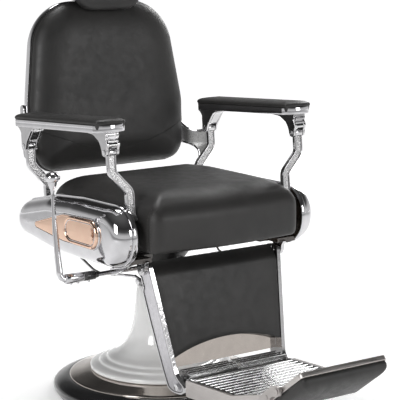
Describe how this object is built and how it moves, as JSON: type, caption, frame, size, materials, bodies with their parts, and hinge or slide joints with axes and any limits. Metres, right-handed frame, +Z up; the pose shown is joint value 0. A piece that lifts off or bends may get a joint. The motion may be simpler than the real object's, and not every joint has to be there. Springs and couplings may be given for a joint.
{
  "type": "hydraulic barber chair",
  "caption": "Reclining hydraulic barber chair on a round base, with padded seat, back, arms, headrest and legrest, side pump lever, ribbed footplate and flip-over foot pad.",
  "frame": {"origin": "centre of the round base, on the floor", "axes": "+Z up; the sitter faces -Y; +X is the sitter's left"},
  "size_m": [0.7735, 1.1823, 1.1947],
  "materials": {
    "floor_pad": "matt rubber",
    "base_black": "gloss black enamel",
    "base_trim": "polished nickel",
    "bell": "gloss white enamel",
    "cylinder": "satin grey paint",
    "plain_steel": "bright turned steel",
    "ram": "hard chrome",
    "seal": "matt rubber",
    "washer": "turned bronze",
    "yoke": "black painted casting",
    "frame": "satin black paint",
    "board": "plywood",
    "upholstery": "satin black vinyl-coated cloth over foam",
    "cover": "polished chrome",
    "medallion": "polished copper tone",
    "chrome": "polished chrome",
    "socket": "gloss black",
    "back_shell": "polished chrome",
    "headrest_shell": "satin black vinyl-coated cloth over foam",
    "linkage": "chromed casting, slightly uneven",
    "rails": "chromed casting, slightly uneven",
    "kick_panel": "polished steel sheet",
    "grille": "polished cast aluminium",
    "foot_arms": "satin cast aluminium",
    "flap_trim": "satin aluminium edge"
  },
  "bodies": {
    "base": {"floor_pad": "floor_pad", "base_casting": "base_black", "base_trim": "base_trim", "base_bell": "bell", "hydraulic_cylinder": "cylinder", "gland_nut": "plain_steel", "base_bolts": "plain_steel"},
    "lift": {"ram": "ram", "piston": "plain_steel", "piston_seal": "seal", "thrust_washer": "washer", "swivel_nut": "plain_steel"},
    "seat": {"yoke": "yoke", "seat_frame": "frame", "seat_board": "board", "seat_cushion": "upholstery", "side_cover_left": "cover", "side_cover_right": "cover", "medallions": "medallion", "lever_hanger": "chrome", "arm_pivot_pins": "plain_steel", "legrest_hinge_pins": "plain_steel", "pump_body": "yoke"},
    "lever": {"lever_arm": "chrome", "lever_knob": "chrome", "lever_socket": "socket", "socket_screws": "plain_steel", "lever_shaft": "chrome"},
    "plunger": {"pump_plunger": "chrome"},
    "back": {"back_casting_left": "linkage", "back_casting_right": "linkage", "back_shell": "back_shell", "back_board": "board", "back_cushion": "upholstery", "headrest_socket": "chrome"},
    "headrest_slider": {"headrest_bar": "chrome"},
    "headrest": {"headrest_bracket": "chrome", "headrest_pad": "upholstery", "headrest_shell": "headrest_shell"},
    "legrest": {"legrest_rail_left": "rails", "legrest_rail_right": "rails", "kick_panel": "kick_panel", "calf_pad": "upholstery", "footplate_pins": "plain_steel"},
    "footplate": {"foot_grille": "grille", "foot_arms": "foot_arms"},
    "flap": {"flap_frame": "flap_trim", "flap_pad": "upholstery"},
    "armrest_left": {"arm_tray_left": "chrome", "arm_brackets_left": "linkage", "arm_pad_left": "upholstery", "arm_pins_left": "plain_steel"},
    "front_post_left": {"front_post_left": "linkage"},
    "link_rod_left": {"link_rod_left": "chrome"},
    "armrest_right": {"arm_tray_right": "chrome", "arm_brackets_right": "linkage", "arm_pad_right": "upholstery", "arm_pins_right": "plain_steel"},
    "front_post_right": {"front_post_right": "linkage"},
    "link_rod_right": {"link_rod_right": "chrome"}
  },
  "joints": [
    {"name": "seat_lift", "type": "slide", "parent": "base", "child": "lift", "axis": [0, 0, 1], "range_m": [0, 0.15]},
    {"name": "seat_swivel", "type": "hinge", "parent": "lift", "child": "seat", "pos_m": [0, 0, 0.38], "axis": [0, 0, 1], "continuous": true},
    {"name": "lever_swing", "type": "hinge", "parent": "seat", "child": "lever", "pos_m": [0, -0.118, 0.386], "axis": [-1, 0, 0], "range_deg": [-20, 20]},
    {"name": "plunger_stroke", "type": "slide", "parent": "seat", "child": "plunger", "axis": [0, 0, 1], "range_m": [-0.0075, 0.0075]},
    {"name": "back_recline", "type": "hinge", "parent": "seat", "child": "back", "pos_m": [0, 0.167, 0.518], "axis": [-1, 0, 0], "range_deg": [0, 45]},
    {"name": "headrest_height", "type": "slide", "parent": "back", "child": "headrest_slider", "axis": [0, 0.108, 0.9942], "range_m": [0, 0.1]},
    {"name": "headrest_tilt", "type": "hinge", "parent": "headrest_slider", "child": "headrest", "pos_m": [0, 0.37577, 1.11472], "axis": [-1, 0, 0], "range_deg": [0, 30]},
    {"name": "armrest_level_left", "type": "hinge", "parent": "back", "child": "armrest_left", "pos_m": [0, 0.183, 0.695], "axis": [-1, 0, 0], "range_deg": [-45, 0]},
    {"name": "front_post_left", "type": "hinge", "parent": "seat", "child": "front_post_left", "pos_m": [0, -0.238, 0.55], "axis": [-1, 0, 0], "range_deg": [0, 45]},
    {"name": "armrest_level_right", "type": "hinge", "parent": "back", "child": "armrest_right", "pos_m": [0, 0.183, 0.695], "axis": [-1, 0, 0], "range_deg": [-45, 0]},
    {"name": "front_post_right", "type": "hinge", "parent": "seat", "child": "front_post_right", "pos_m": [0, -0.238, 0.55], "axis": [-1, 0, 0], "range_deg": [0, 45]},
    {"name": "legrest_swing", "type": "hinge", "parent": "seat", "child": "legrest", "pos_m": [0, -0.245, 0.414], "axis": [-1, 0, 0], "range_deg": [0, 45]},
    {"name": "link_rod_left", "type": "hinge", "parent": "legrest", "child": "link_rod_left", "pos_m": [0, -0.208, 0.373], "axis": [-1, 0, 0], "range_deg": [-47, 0]},
    {"name": "link_rod_right", "type": "hinge", "parent": "legrest", "child": "link_rod_right", "pos_m": [0, -0.208, 0.373], "axis": [-1, 0, 0], "range_deg": [-47, 0]},
    {"name": "footplate_fold", "type": "hinge", "parent": "legrest", "child": "footplate", "pos_m": [0, -0.336, 0.111], "axis": [-1, 0, 0], "range_deg": [0, 45]},
    {"name": "flap_flip", "type": "hinge", "parent": "footplate", "child": "flap", "pos_m": [0, -0.706, 0.184], "axis": [-1, 0, 0], "range_deg": [0, 140]}
  ],
  "couplings": [
    {"joint": "plunger_stroke", "follows": "lever_swing", "m_per_rad": -0.02},
    {"joint": "legrest_swing", "follows": "back_recline", "ratio": 1},
    {"joint": "armrest_level_left", "follows": "back_recline", "ratio": -1},
    {"joint": "front_post_left", "follows": "back_recline", "ratio": 1},
    {"joint": "link_rod_left", "follows": "back_recline", "ratio": -1.027},
    {"joint": "armrest_level_right", "follows": "back_recline", "ratio": -1},
    {"joint": "front_post_right", "follows": "back_recline", "ratio": 1},
    {"joint": "link_rod_right", "follows": "back_recline", "ratio": -1.027}
  ]
}
